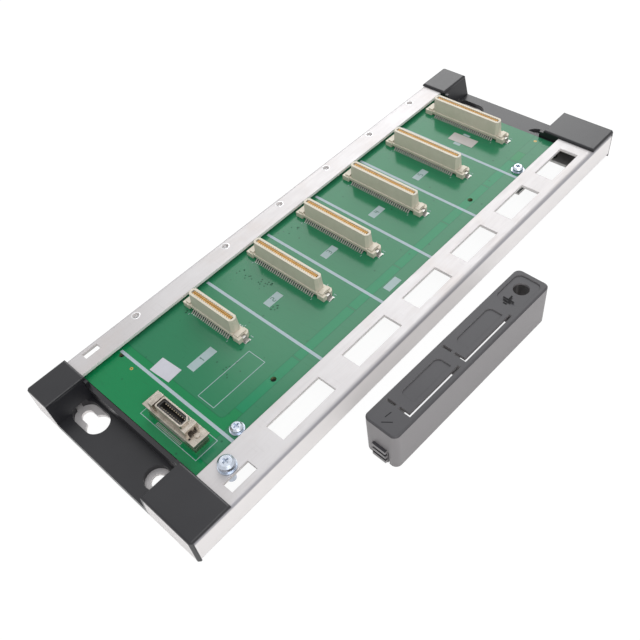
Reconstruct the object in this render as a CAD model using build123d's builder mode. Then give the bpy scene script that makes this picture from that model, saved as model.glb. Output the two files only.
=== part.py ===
from build123d import *
import os

os.makedirs("parts", exist_ok=True)

# A base for plug-in controller modules: a channel-shaped aluminium chassis with two moulded
# ends, a circuit board with six module connectors, and a loose cover that lies beside it.
# The origin is at the middle of the chassis on the surface it lies on. X runs along the row
# of slots, Y from the near flange to the far flange, Z up. Lengths are in millimetres.

# Chassis; its length follows from the row of slots
base_width = 108.0
flange_top = 14.0
sheet = 1.5
near_flange = 20.0
far_flange = 12.5
bend_outer = 2.0
bend_inner = 0.5
corner_post = 1.5
tab_thickness = 2.0
window_depth = 9.8
window_inset = 5.1
earth_window_depth = 5.4
earth_window_inset = 4.1
earth_window_from_end = 24.2
earth_window_length = 13.0
floor_opening_from_wall = 4.0
floor_opening_depth = 22.0
floor_opening_end = 22.0
lug_width = 9.0
lug_depth = 6.0
latch_hole_width = 8.0
latch_hole_depth = 3.6
latch_hole_from_end = 30.7
latch_hole_from_edge = 4.7
latch_notch_length = 11.6
latch_notch_height = 8.0
module_screw_from_edge = 4.2
module_screw_drill = 3.3

# Slots along the row
left_margin = 40.2
right_margin = 20.0
power_slot_width = 51.6
cpu_slot_width = 40.2
io_slot_width = 35.0
io_slots = 4
power_screw_from_slot = 16.0
power_window_from_slot = 12.2
power_window_length = 30.4
cpu_window_from_slot = 5.4
cpu_window_length = 27.7
io_window_from_slot = 4.9
io_window_length = 23.8

# Mounting holes in the floor, one keyhole and one round hole at each end
mount_from_end = 11.6
keyhole_from_far = 21.5
keyhole_slot_width = 5.5
keyhole_entry_dia = 11.0
keyhole_travel = 8.0
round_hole_from_near = 37.7
round_hole_dia = 6.4

# End mouldings
moulding_depth = 20.0
moulding_wall = 1.5
cap_roof = 1.5
cap_edge_fillet = 1.0
near_cap_width = 29.0
far_cap_width = 15.1
cap_flare = 2.3
floor_plate_top = 4.0
rim_thickness = 2.0
rim_top = 10.8
ledge_depth = 3.5
ledge_height = 1.5
keyhole_relief_dia = 11.6
round_relief_dia = 11.2
post_chamfer = 0.9

# Circuit board
board_from_end = 20.7
board_thickness = 1.6
board_top = 11.0
board_tuck = 1.8
board_gap = 0.2
locating_hole_dia = 2.6
locating_hole_from_end = 38.9
locating_hole_from_far = 4.2
power_hole_from_slot = 31.4
power_hole_from_near = 12.4
io_hole_from_slot = 8.0
io_hole_from_near = 12.5
left_screw_from_slot = 5.0
right_screw_from_slot = 5.3
board_screw_from_near = 6.5
far_rest_from_far = 4.8
first_rest_from_slot = -5.8
middle_rest_from_slot = -1.0
last_rest_from_slot = 9.0
standoff_dia = 6.0

# Screws
board_screw_dia = 3.0
board_screw_head_dia = 5.4
board_screw_head_height = 2.1
board_screw_head_edge = 0.8
board_screw_length = 6.0
board_washer_dia = 6.6
board_washer_thickness = 0.5
earth_screw_from_end = 30.5
earth_screw_from_near = 13.6
earth_screw_dia = 4.0
earth_screw_head_dia = 7.0
earth_screw_head_height = 2.6
earth_screw_head_edge = 1.0
earth_screw_length = 10.0
earth_flat_dia = 8.0
earth_flat_thickness = 0.7
earth_spring_dia = 7.0
earth_spring_thickness = 0.9
spring_split = 0.7
screw_clearance = 0.2
recess_arm = 0.8
recess_length = 2.8
recess_depth = 1.1

# Module connectors
contact_pitch = 1.27
power_contacts = 20
bus_contacts = 30
power_connector_from_slot = 38.7
cpu_connector_from_slot = 27.7
io_connector_from_slot = 21.95
connector_from_far_flange = 2.3
connector_height = 10.4
connector_base_width = 6.0
connector_ear_width = 7.0
connector_body_width = 5.3
connector_draft = 3.3
connector_base_over = 12.3
connector_body_over = 4.3
connector_slot_over = 1.2
connector_slot_width = 1.7
connector_slot_depth = 6.5
connector_base_height = 2.6
connector_lead_room = 1.2
connector_core_width = 4.2
connector_corner = 1.5
ear_step = 0.8
ear_step_length = 2.6
ear_chamfer = 1.2
lead_width = 0.5
lead_gap = 0.2
lead_thickness = 0.5
lead_foot = 0.9
lead_reach = 1.4
clip_width = 2.2
clip_thickness = 0.35
clip_reach = 2.0
clip_bite = 1.6
clip_height = 1.7

# Extension connector on the left strip
extension_from_end = 30.9
extension_from_near = 25.9
extension_plate_length = 32.3
extension_plate_width = 8.4
extension_plate_height = 6.0
extension_plate_thickness = 0.5
extension_block_length = 29.0
extension_block_width = 7.2
extension_ring_length = 16.4
extension_ring_width = 5.6
extension_ring_height = 4.6
extension_ring_wall = 0.6
extension_ring_corner = 0.6
extension_ring_key = 1.6
extension_cavity_length = 13.4
extension_cavity_width = 2.6
extension_cavity_depth = 4.0
extension_contact_count = 10
extension_contact_width = 0.5
extension_contact_height = 3.1
extension_contact_thickness = 0.3
extension_near_bar = 9.5
extension_far_bar = 10.9
extension_bar_length = 6.6
extension_bar_thickness = 2.6
extension_bar_height = 3.5
extension_bar_wall = 1.3
extension_near_rivet = 13.2
extension_far_rivet = 14.4
extension_rivet_x = 0.3
extension_rivet_head = 0.4
extension_rivet_head_dia = 2.4

# Labels
label_thickness = 0.12
left_label_from_slot = 5.7
left_label_from_far = 26.3
left_label_size = (7.9, 11.9)
left_label_turn = 3.8
right_label_from_slot = 10.0
right_label_from_far = 35.6
right_label_size = (6.4, 15.0)
right_label_turn = 1.6

# Loose connector cover, lying beside the base
cover_length = 99.6
cover_width = 16.4
cover_height = 21.5
cover_wall = 1.6
cover_corner = 2.8
cover_edge = 0.7
cover_from_end = 75.8
cover_from_base = 31.5
cover_turn = -1.67
cover_screw_from_end = 9.1
cover_screw_dia = 7.0
cover_recess_depth = 0.5
cover_recess_length = 17.2
cover_recess_margin = 2.4
cover_recess_corner = 3.0
cover_slot_width = 1.3
flap_starts = (11.2, 45.0)
flap_length = 30.6
flap_near = 2.4
flap_depth = 12.0
flap_bridge = 1.6
flap_bridge_from_far = 5.2
flap_panel_corner = 2.4
flap_panel_margin = 1.9
flap_panel_shift = 4.0
cover_rib_thickness = 1.2
cover_rib_height = 14.0
latch_width = 6.8
latch_from_near = 4.6
latch_slit = 0.8
latch_slit_height = 8.4
latch_out = 1.3
latch_ribs = 3
latch_rib_height = 1.7
latch_rib_pitch = 3.1
latch_rib_start = 1.2

# Places worked out from the sizes above
base_length = left_margin + power_slot_width + cpu_slot_width + io_slots * io_slot_width + right_margin
half_length = base_length / 2
half_width = base_width / 2
near_edge = -half_width + near_flange
far_edge = half_width - far_flange
power_slot_left = -half_length + left_margin
cpu_slot_left = power_slot_left + power_slot_width
io_slot_left = cpu_slot_left + cpu_slot_width
io_lefts = [io_slot_left + i * io_slot_width for i in range(io_slots)]
near_cap_edge = -half_width + near_cap_width
far_cap_edge = half_width - far_cap_width
near_cap_foot = near_cap_edge + cap_flare
far_cap_foot = far_cap_edge - cap_flare
side_end = half_length - corner_post
tab_inner = half_length - tab_thickness
mount_x = half_length - mount_from_end
keyhole_y = half_width - keyhole_from_far
round_hole_y = -half_width + round_hole_from_near
latch_hole_x = -half_length + latch_hole_from_end
earth_window_x = -half_length + earth_window_from_end + earth_window_length / 2
earth_screw_spot = (-half_length + earth_screw_from_end, -half_width + earth_screw_from_near)

board_length = base_length - 2 * board_from_end
board_bottom = board_top - board_thickness
board_near = near_edge - board_tuck
board_far = far_edge + board_tuck
rim_inner = board_length / 2 + board_gap
rim_outer = rim_inner + rim_thickness
window_near = -half_width + window_inset
earth_window_near = -half_width + earth_window_inset
connector_far_end = far_edge - connector_from_far_flange

board_screw_spots = [
    (power_slot_left + left_screw_from_slot, board_near + board_screw_from_near),
    (io_lefts[-1] + right_screw_from_slot, board_near + board_screw_from_near),
]
far_rest_spots = [
    (cpu_slot_left + first_rest_from_slot, board_far - far_rest_from_far),
    (io_lefts[1] + middle_rest_from_slot, board_far - far_rest_from_far),
    (io_lefts[-1] + last_rest_from_slot, board_far - far_rest_from_far),
]
locating_holes = [
    (-half_length + locating_hole_from_end, board_far - locating_hole_from_far),
    (power_slot_left + power_hole_from_slot, board_near + power_hole_from_near),
    (io_lefts[-2] + io_hole_from_slot, board_near + io_hole_from_near),
]

windows = [
    (power_slot_left + power_window_from_slot, power_window_length),
    (cpu_slot_left + cpu_window_from_slot, cpu_window_length),
]
windows += [(left + io_window_from_slot, io_window_length) for left in io_lefts]

module_screws = [power_slot_left + power_screw_from_slot, cpu_slot_left + cpu_slot_width / 2]
module_screws += [left + io_slot_width / 2 for left in io_lefts]

connectors = [
    ("power", power_slot_left + power_connector_from_slot, power_contacts),
    ("cpu", cpu_slot_left + cpu_connector_from_slot, bus_contacts),
]
connectors += [(f"io{i}", left + io_connector_from_slot, bus_contacts) for i, left in enumerate(io_lefts)]


def save(piece, label):
    """Name a finished piece and write it."""
    piece.part.label = label
    export_step(piece.part, f"parts/{label}.step")


def end_tab_face(foot, top_edge, wall):
    """Outline of a folded-up end tab, seen along X, from the side wall to its sloping edge."""
    with BuildLine() as outline:
        Polyline(
            (wall, 0),
            (foot, 0),
            (foot, floor_plate_top),
            (top_edge, flange_top),
            (wall, flange_top),
            close=True,
        )
    return make_face(outline.edges(), mode=Mode.PRIVATE)


# The chassis is one channel section: floor, two side walls and two inward flanges
with BuildPart() as chassis:
    with BuildSketch(Plane.YZ.offset(-side_end)) as section:
        with Locations((0, flange_top / 2)):
            Rectangle(base_width, flange_top)
        with Locations((0, flange_top / 2)):
            Rectangle(base_width - 2 * sheet, flange_top - 2 * sheet, mode=Mode.SUBTRACT)
        with Locations(((near_edge + far_edge) / 2, flange_top)):
            Rectangle(far_edge - near_edge, 2 * sheet + bend_inner, mode=Mode.SUBTRACT)
        outer_corners = [v for v in section.vertices() if abs(abs(v.X) - half_width) < sheet / 2]
        fillet(outer_corners, bend_outer)
        inner_corners = [v for v in section.vertices() if abs(abs(v.X) - half_width + sheet) < sheet / 3]
        fillet(inner_corners, bend_inner)
    extrude(amount=2 * side_end)

    # Folded-up end tabs that stand under the moulded caps, up to the caps' flared inner walls
    for direction in (-1, 1):
        for outward, foot, top_edge in (
            (-1, near_cap_foot, near_cap_edge),
            (1, far_cap_foot, far_cap_edge),
        ):
            back = outward * moulding_wall
            with BuildSketch(Plane.YZ.offset(direction * tab_inner)):
                add(end_tab_face(foot + back, top_edge + back, outward * (half_width - sheet)))
            extrude(amount=direction * tab_thickness)

    # Hook windows in the near flange, one for each slot, and a small one by the earth screw
    with BuildSketch(Plane.XY.offset(flange_top)):
        for start, length in windows:
            with Locations((start + length / 2, window_near + window_depth / 2)):
                Rectangle(length, window_depth)
        with Locations((earth_window_x, earth_window_near + earth_window_depth / 2)):
            Rectangle(earth_window_length, earth_window_depth)
        with Locations((latch_hole_x, half_width - latch_hole_from_edge)):
            Rectangle(latch_hole_width, latch_hole_depth)
    extrude(amount=-1.5 * sheet, mode=Mode.SUBTRACT)

    # Long opening in the floor below the windows, with a lug left for each board screw
    with BuildSketch(Plane.XY):
        opening_near = -half_width + floor_opening_from_wall
        with Locations((0, opening_near + floor_opening_depth / 2)):
            Rectangle(2 * (half_length - floor_opening_end), floor_opening_depth)
        lug_y = opening_near + floor_opening_depth - lug_depth / 2
        with Locations(*[(x, lug_y) for x, y in board_screw_spots]):
            Rectangle(lug_width, lug_depth, mode=Mode.SUBTRACT)
    extrude(amount=sheet, mode=Mode.SUBTRACT)

    # Notch in the far wall behind the latch hole
    with BuildSketch(Plane.XZ.offset(-half_width)):
        with Locations((latch_hole_x, flange_top / 2)):
            Rectangle(latch_notch_length, latch_notch_height)
    extrude(amount=1.5 * sheet, mode=Mode.SUBTRACT)

    # Tapping-size holes for the module screws in the far flange, and the earth screw's hole
    with Locations(*[(x, half_width - module_screw_from_edge, flange_top) for x in module_screws]):
        Hole(module_screw_drill / 2, 2 * sheet)
    with BuildSketch(Plane.XY.offset(flange_top)):
        with Locations(earth_screw_spot):
            Circle(earth_screw_dia / 2 + screw_clearance)
    extrude(amount=-2 * sheet, mode=Mode.SUBTRACT)

    # Keyholes and round mounting holes
    with BuildSketch(Plane.XY):
        for x in (-mount_x, mount_x):
            with Locations((x, keyhole_y)):
                Circle(keyhole_slot_width / 2)
            with Locations((x, keyhole_y - keyhole_travel / 2)):
                Rectangle(keyhole_slot_width, keyhole_travel)
            with Locations((x, keyhole_y - keyhole_travel)):
                Circle(keyhole_entry_dia / 2)
            with Locations((x, round_hole_y)):
                Circle(round_hole_dia / 2)
    extrude(amount=sheet, mode=Mode.SUBTRACT)
save(chassis, "chassis")


# One moulded end: a low floor plate with a rim beside the board and a hollow cap over each flange
with BuildPart() as left_end:
    # Floor plate with its lip over the end of the metal floor
    with BuildSketch(Plane.XY.offset(sheet)):
        plate_start = -half_length
        with Locations(((plate_start - rim_outer) / 2, (near_cap_foot + far_cap_foot) / 2)):
            Rectangle(-rim_outer - plate_start, far_cap_foot - near_cap_foot)
    extrude(amount=floor_plate_top - sheet)
    with BuildSketch(Plane.XY):
        with Locations((-half_length + corner_post / 2, (near_cap_foot + far_cap_foot) / 2)):
            Rectangle(corner_post, far_cap_foot - near_cap_foot + 2 * (moulding_wall - board_gap))
    extrude(amount=floor_plate_top)

    # Rim wall beside the board, and the ledge that carries the board's end
    with BuildSketch(Plane.XY.offset(sheet)):
        with Locations((-(rim_inner + rim_outer) / 2, (near_edge + far_edge) / 2)):
            Rectangle(rim_thickness, far_edge - near_edge)
    extrude(amount=rim_top - sheet)
    with BuildSketch(Plane.XY.offset(board_bottom - ledge_height)):
        with Locations((-(rim_inner + rim_outer) / 2 + ledge_depth / 2, (near_edge + far_edge) / 2)):
            Rectangle(rim_thickness + ledge_depth, far_edge - near_edge)
    extrude(amount=ledge_height)

    # The two caps: roof, flared inner wall, wall towards the board and outer corner post
    for foot, edge, flange_edge, outward in (
        (near_cap_foot, near_cap_edge, near_edge, -1),
        (far_cap_foot, far_cap_edge, far_edge, 1),
    ):
        outer = outward * half_width
        with BuildSketch(Plane.XY.offset(flange_top)):
            with Locations((-half_length + moulding_depth / 2, (outer + edge) / 2)):
                Rectangle(moulding_depth, abs(outer - edge))
        extrude(amount=cap_roof)
        with BuildSketch(Plane.YZ.offset(-half_length)):
            with BuildLine():
                Polyline(
                    (foot + outward * moulding_wall, floor_plate_top),
                    (foot + outward * moulding_wall, sheet),
                    (foot, sheet),
                    (foot, floor_plate_top),
                    (edge, flange_top),
                    (edge + outward * moulding_wall, flange_top),
                    close=True,
                )
            make_face()
        extrude(amount=moulding_depth)
        with BuildSketch(Plane.XY.offset(sheet)):
            wall_mid = -half_length + moulding_depth - moulding_wall / 2
            with Locations((wall_mid, (flange_edge + foot) / 2)):
                Rectangle(moulding_wall, abs(foot - flange_edge))
        extrude(amount=flange_top - sheet)
        with BuildSketch(Plane.XY):
            post_mid = outer - outward * corner_post / 2
            with Locations((-half_length + corner_post / 2, post_mid)):
                Rectangle(corner_post, corner_post)
        extrude(amount=flange_top)

    # Relief round each mounting hole, wide enough for a screw head
    with BuildSketch(Plane.XY.offset(sheet)):
        with Locations((-mount_x, keyhole_y)):
            Circle(keyhole_relief_dia / 2)
        with Locations((-mount_x, keyhole_y - keyhole_travel)):
            Circle(keyhole_relief_dia / 2)
        with Locations((-mount_x, keyhole_y - keyhole_travel / 2)):
            Rectangle(keyhole_relief_dia, keyhole_travel)
        with Locations((-mount_x, round_hole_y)):
            Circle(round_relief_dia / 2)
    extrude(amount=floor_plate_top, mode=Mode.SUBTRACT)

    outer_posts = left_end.edges().filter_by(Axis.Z).filter_by(
        lambda e: abs(abs(e.center().Y) - half_width) < sheet / 4
        and abs(e.center().X + half_length) < sheet / 4
    )
    chamfer(outer_posts, post_chamfer)
    roof_rims = left_end.faces().filter_by(Axis.Z).group_by(Axis.Z)[-1].edges()
    fillet(roof_rims, cap_edge_fillet)
save(left_end, "left_end_moulding")

with BuildPart() as right_end:
    add(mirror(left_end.part, about=Plane.YZ))
save(right_end, "right_end_moulding")


# Circuit board, tucked under both flanges
with BuildPart() as board:
    with BuildSketch(Plane.XY.offset(board_bottom)):
        with Locations((0, (board_near + board_far) / 2)):
            Rectangle(board_length, board_far - board_near)
        with Locations(*board_screw_spots):
            Circle(board_screw_dia / 2 + screw_clearance, mode=Mode.SUBTRACT)
        with Locations(*locating_holes):
            Circle(locating_hole_dia / 2, mode=Mode.SUBTRACT)
    extrude(amount=board_thickness)
save(board, "backplane_board")

# Pillars from the floor to the board: two threaded ones under the screws, three plain rests
with BuildPart() as standoffs:
    with BuildSketch(Plane.XY.offset(sheet)):
        with Locations(*board_screw_spots, *far_rest_spots):
            RegularPolygon(standoff_dia / 2, 6)
        with Locations(*board_screw_spots):
            Circle(board_screw_dia / 2, mode=Mode.SUBTRACT)
    extrude(amount=board_bottom - sheet)
save(standoffs, "board_standoffs")


def pan_screw(spots, seat, head_dia, head_height, head_edge, shank_dia, shank_length):
    """Cross-recessed pan-head screws standing at each spot, heads seated at the given height."""
    with BuildPart() as screw:
        with BuildSketch(Plane.XY.offset(seat - shank_length)):
            with Locations(*spots):
                Circle(shank_dia / 2)
        extrude(amount=shank_length)
        with BuildSketch(Plane.XY.offset(seat)):
            with Locations(*spots):
                Circle(head_dia / 2)
        extrude(amount=head_height)
        rims = screw.faces().filter_by(Axis.Z).group_by(Axis.Z)[-1].edges()
        chamfer(rims, head_edge)
        with BuildSketch(Plane.XY.offset(seat + head_height)):
            with Locations(*spots):
                Rectangle(recess_length, recess_arm)
                Rectangle(recess_arm, recess_length)
        extrude(amount=-recess_depth, mode=Mode.SUBTRACT)
    return screw


def washer(spots, seat, thickness, outer_dia, bore_dia, split=0.0):
    """Flat or split washers at each spot."""
    with BuildPart() as ring:
        with BuildSketch(Plane.XY.offset(seat)):
            with Locations(*spots):
                Circle(outer_dia / 2)
                Circle(bore_dia / 2, mode=Mode.SUBTRACT)
            if split:
                for x, y in spots:
                    with Locations(Location((x + outer_dia / 4, y, 0), 0)):
                        Rectangle(outer_dia / 2, split, mode=Mode.SUBTRACT)
        extrude(amount=thickness)
    return ring


board_head_seat = board_top + board_washer_thickness
save(
    pan_screw(
        board_screw_spots,
        board_head_seat,
        board_screw_head_dia,
        board_screw_head_height,
        board_screw_head_edge,
        board_screw_dia,
        board_screw_length,
    ),
    "board_screws",
)
save(
    washer(
        board_screw_spots,
        board_top,
        board_washer_thickness,
        board_washer_dia,
        board_screw_dia + 2 * screw_clearance,
    ),
    "board_screw_washers",
)

earth_spring_seat = flange_top + earth_flat_thickness
earth_head_seat = earth_spring_seat + earth_spring_thickness
earth_bore = earth_screw_dia + 2 * screw_clearance
save(
    pan_screw(
        [earth_screw_spot],
        earth_head_seat,
        earth_screw_head_dia,
        earth_screw_head_height,
        earth_screw_head_edge,
        earth_screw_dia,
        earth_screw_length,
    ),
    "earth_screw",
)
save(
    washer([earth_screw_spot], flange_top, earth_flat_thickness, earth_flat_dia, earth_bore),
    "earth_flat_washer",
)
save(
    washer(
        [earth_screw_spot],
        earth_spring_seat,
        earth_spring_thickness,
        earth_spring_dia,
        earth_bore,
        spring_split,
    ),
    "earth_spring_washer",
)


def connector_middle(contacts):
    """Y of a connector's middle: all housings end at the same far line."""
    return connector_far_end - (contacts * contact_pitch + connector_base_over) / 2


def connector_housing(x, contacts):
    """Moulded receptacle: feet on the board, a base ledge over the leads and a slotted tower."""
    y = connector_middle(contacts)
    base_length_y = contacts * contact_pitch + connector_base_over
    body_length_y = contacts * contact_pitch + connector_body_over
    slot_length_y = contacts * contact_pitch + connector_slot_over
    ear = (base_length_y - body_length_y) / 2
    with BuildPart() as housing:
        # Narrow core between the two rows of leads
        with BuildSketch(Plane.XY.offset(board_top)):
            with Locations((x, y)):
                Rectangle(connector_core_width, body_length_y)
        extrude(amount=connector_lead_room)
        # Feet at both ends, with the corners cut off at the near end
        with BuildSketch(Plane.XY.offset(board_top)) as feet:
            for side in (-1, 1):
                with Locations((x, y + side * (base_length_y - ear) / 2)):
                    Rectangle(connector_ear_width, ear)
            chamfer(feet.vertices().group_by(Axis.Y)[0].sort_by(Axis.X)[-1], ear_chamfer)
        extrude(amount=connector_base_height)
        # Base ledge above the leads
        with BuildSketch(Plane.XY.offset(board_top + connector_lead_room)):
            with Locations((x, y)):
                Rectangle(connector_base_width, body_length_y)
        extrude(amount=connector_base_height - connector_lead_room)
        # Raised step on each foot against the tower
        with BuildSketch(Plane.XY.offset(board_top + connector_base_height)):
            for side in (-1, 1):
                with Locations((x, y + side * (body_length_y + ear_step_length) / 2)):
                    Rectangle(connector_body_width, ear_step_length)
        extrude(amount=ear_step)
        # Tower with its corners cut off, drawn in towards its top, and the mating slot
        with BuildSketch(Plane.XY.offset(board_top + connector_base_height)) as tower:
            with Locations((x, y)):
                Rectangle(connector_body_width, body_length_y)
            chamfer(tower.vertices(), connector_corner)
        extrude(amount=connector_height - connector_base_height, taper=connector_draft)
        with BuildSketch(Plane.XY.offset(board_top + connector_height)):
            with Locations((x, y)):
                Rectangle(connector_slot_width, slot_length_y)
        extrude(amount=-connector_slot_depth, mode=Mode.SUBTRACT)
        # Pocket in the near foot for the hold-down clip
        with BuildSketch(Plane.XY.offset(board_top + clip_height)):
            with Locations((x, y - base_length_y / 2 + clip_bite / 2)):
                Rectangle(clip_width, clip_bite)
        extrude(amount=connector_base_height, mode=Mode.SUBTRACT)
    return housing


def connector_leads(x, contacts):
    """Two rows of splayed leads: two sloping bars from the ledge to the board, cut at the pitch."""
    y = connector_middle(contacts)
    top = connector_core_width / 2 + lead_gap
    toe = connector_base_width / 2 + lead_reach
    with BuildPart() as leads:
        with BuildSketch(Plane.XZ.offset(-y)):
            for side in (-1, 1):
                with BuildLine():
                    Polyline(
                        (x + side * top, board_top + connector_lead_room),
                        (x + side * (top + lead_thickness), board_top + connector_lead_room),
                        (x + side * toe, board_top),
                        (x + side * (toe - lead_foot), board_top),
                        close=True,
                    )
                make_face()
        extrude(amount=((contacts - 1) * contact_pitch + lead_width) / 2, both=True)
        with BuildSketch(Plane.XY.offset(board_top)):
            with Locations((x, y)):
                with GridLocations(contact_pitch, contact_pitch, 1, contacts - 1):
                    Rectangle(2 * toe, contact_pitch - lead_width)
        extrude(amount=connector_lead_room, mode=Mode.SUBTRACT)
    return leads


for slot_name, connector_x, contacts in connectors:
    save(connector_housing(connector_x, contacts), f"{slot_name}_connector_housing")
    save(connector_leads(connector_x, contacts), f"{slot_name}_connector_contacts")

# Hold-down clips, one at the near foot of each module connector
with BuildPart() as clips:
    for slot_name, connector_x, contacts in connectors:
        foot_end = connector_middle(contacts) - (contacts * contact_pitch + connector_base_over) / 2
        with BuildSketch(Plane.YZ.offset(connector_x - clip_width / 2)):
            with BuildLine():
                Polyline(
                    (foot_end - clip_reach, board_top),
                    (foot_end, board_top),
                    (foot_end, board_top + clip_height),
                    (foot_end + clip_bite, board_top + clip_height),
                    (foot_end + clip_bite, board_top + clip_height + clip_thickness),
                    (foot_end - clip_thickness, board_top + clip_height + clip_thickness),
                    (foot_end - clip_thickness, board_top + clip_thickness),
                    (foot_end - clip_reach, board_top + clip_thickness),
                    close=True,
                )
            make_face()
        extrude(amount=clip_width)
save(clips, "connector_clips")


# Extension connector: a shielded receptacle that stands on the left strip of the board
extension_x = -half_length + extension_from_end
extension_y = board_near + extension_from_near
plate_bottom = board_top + extension_plate_height
plate_top = plate_bottom + extension_plate_thickness
ring_top = plate_top + extension_ring_height


def ring_outline(shrink):
    """Outline of the shell ring with cut corners, drawn in by the given amount on every side."""
    half_l = extension_ring_length / 2 - shrink
    half_w = extension_ring_width / 2 - shrink
    cut = extension_ring_corner
    key = extension_ring_key
    with BuildLine() as outline:
        Polyline(
            (-half_w, -half_l + cut),
            (-half_w, half_l - cut),
            (-half_w + cut, half_l),
            (half_w - cut, half_l),
            (half_w, half_l - cut),
            (half_w, -half_l + key),
            (half_w - key, -half_l),
            (-half_w + cut, -half_l),
            close=True,
        )
    return make_face(outline.edges(), mode=Mode.PRIVATE)


bar_spots = [
    (extension_x, extension_y - extension_near_bar),
    (extension_x, extension_y + extension_far_bar),
]
rivet_spots = [
    (extension_x + extension_rivet_x, extension_y - extension_near_rivet),
    (extension_x + extension_rivet_x, extension_y + extension_far_rivet),
]

with BuildPart() as extension_shell:
    with BuildSketch(Plane.XY.offset(plate_bottom)):
        with Locations((extension_x, extension_y)):
            Rectangle(extension_plate_width, extension_plate_length)
    extrude(amount=extension_plate_thickness)
    # Latch bars across the plate, each an arch that is open below its top
    with BuildSketch(Plane.XY.offset(plate_top)):
        with Locations(*bar_spots):
            Rectangle(extension_bar_length, extension_bar_thickness)
    extrude(amount=extension_bar_height)
    arch_height = extension_bar_height - extension_bar_wall
    with BuildSketch(Plane.XZ.offset(-extension_y)):
        with Locations((extension_x, plate_top + arch_height / 2)):
            Rectangle(extension_bar_length - 2 * extension_bar_wall, arch_height)
    extrude(amount=extension_plate_length, both=True, mode=Mode.SUBTRACT)
    # Ring round the insert, open right through the plate
    with BuildSketch(Plane.XY.offset(plate_top)):
        with Locations((extension_x, extension_y)):
            add(ring_outline(0))
    extrude(amount=extension_ring_height)
    with BuildSketch(Plane.XY.offset(plate_bottom)):
        with Locations((extension_x, extension_y)):
            add(ring_outline(extension_ring_wall))
    extrude(amount=ring_top, mode=Mode.SUBTRACT)
save(extension_shell, "extension_connector_shell")

with BuildPart() as extension_insulator:
    with BuildSketch(Plane.XY.offset(board_top)):
        with Locations((extension_x, extension_y)):
            Rectangle(extension_block_width, extension_block_length)
    extrude(amount=extension_plate_height)
    with BuildSketch(Plane.XY.offset(plate_bottom)):
        with Locations((extension_x, extension_y)):
            add(ring_outline(extension_ring_wall + screw_clearance / 4))
    insert_top = ring_top - extension_ring_wall
    extrude(amount=insert_top - plate_bottom)
    with BuildSketch(Plane.XY.offset(insert_top)):
        with Locations((extension_x, extension_y)):
            Rectangle(extension_cavity_width, extension_cavity_length)
    extrude(amount=-extension_cavity_depth, mode=Mode.SUBTRACT)
save(extension_insulator, "extension_connector_insulator")

with BuildPart() as extension_contacts:
    row_spacing = extension_cavity_width - extension_contact_thickness
    with BuildSketch(Plane.XY.offset(insert_top - extension_cavity_depth)):
        with Locations((extension_x, extension_y)):
            with GridLocations(row_spacing, contact_pitch, 2, extension_contact_count):
                Rectangle(extension_contact_thickness, extension_contact_width)
    extrude(amount=extension_contact_height)
save(extension_contacts, "extension_connector_contacts")

with BuildPart() as extension_rivets:
    with BuildSketch(Plane.XY.offset(plate_top)):
        with Locations(*rivet_spots):
            Circle(extension_rivet_head_dia / 2)
    extrude(amount=extension_rivet_head)
save(extension_rivets, "extension_connector_rivets")


def paper_label(x, y, size, turn):
    """Blank adhesive label lying on the board."""
    with BuildPart() as label:
        with BuildSketch(Plane(origin=(x, y, board_top)).rotated((0, 0, turn))):
            Rectangle(*size)
        extrude(amount=label_thickness)
    return label


left_label_x = power_slot_left + left_label_from_slot
left_label_y = board_far - left_label_from_far
save(paper_label(left_label_x, left_label_y, left_label_size, left_label_turn), "left_label")
right_label_x = io_lefts[-1] + right_label_from_slot
right_label_y = board_far - right_label_from_far
save(paper_label(right_label_x, right_label_y, right_label_size, right_label_turn), "right_label")


# Loose cover: an open-bottomed moulding with two break-out flaps, a screw hole and a latch
cover_origin = (-half_length + cover_from_end, -half_width - cover_from_base, 0)
cover_plane = Plane(origin=cover_origin).rotated((0, 0, cover_turn))
cover_top_plane = cover_plane.offset(cover_height)
flap_far = flap_near + flap_depth

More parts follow.
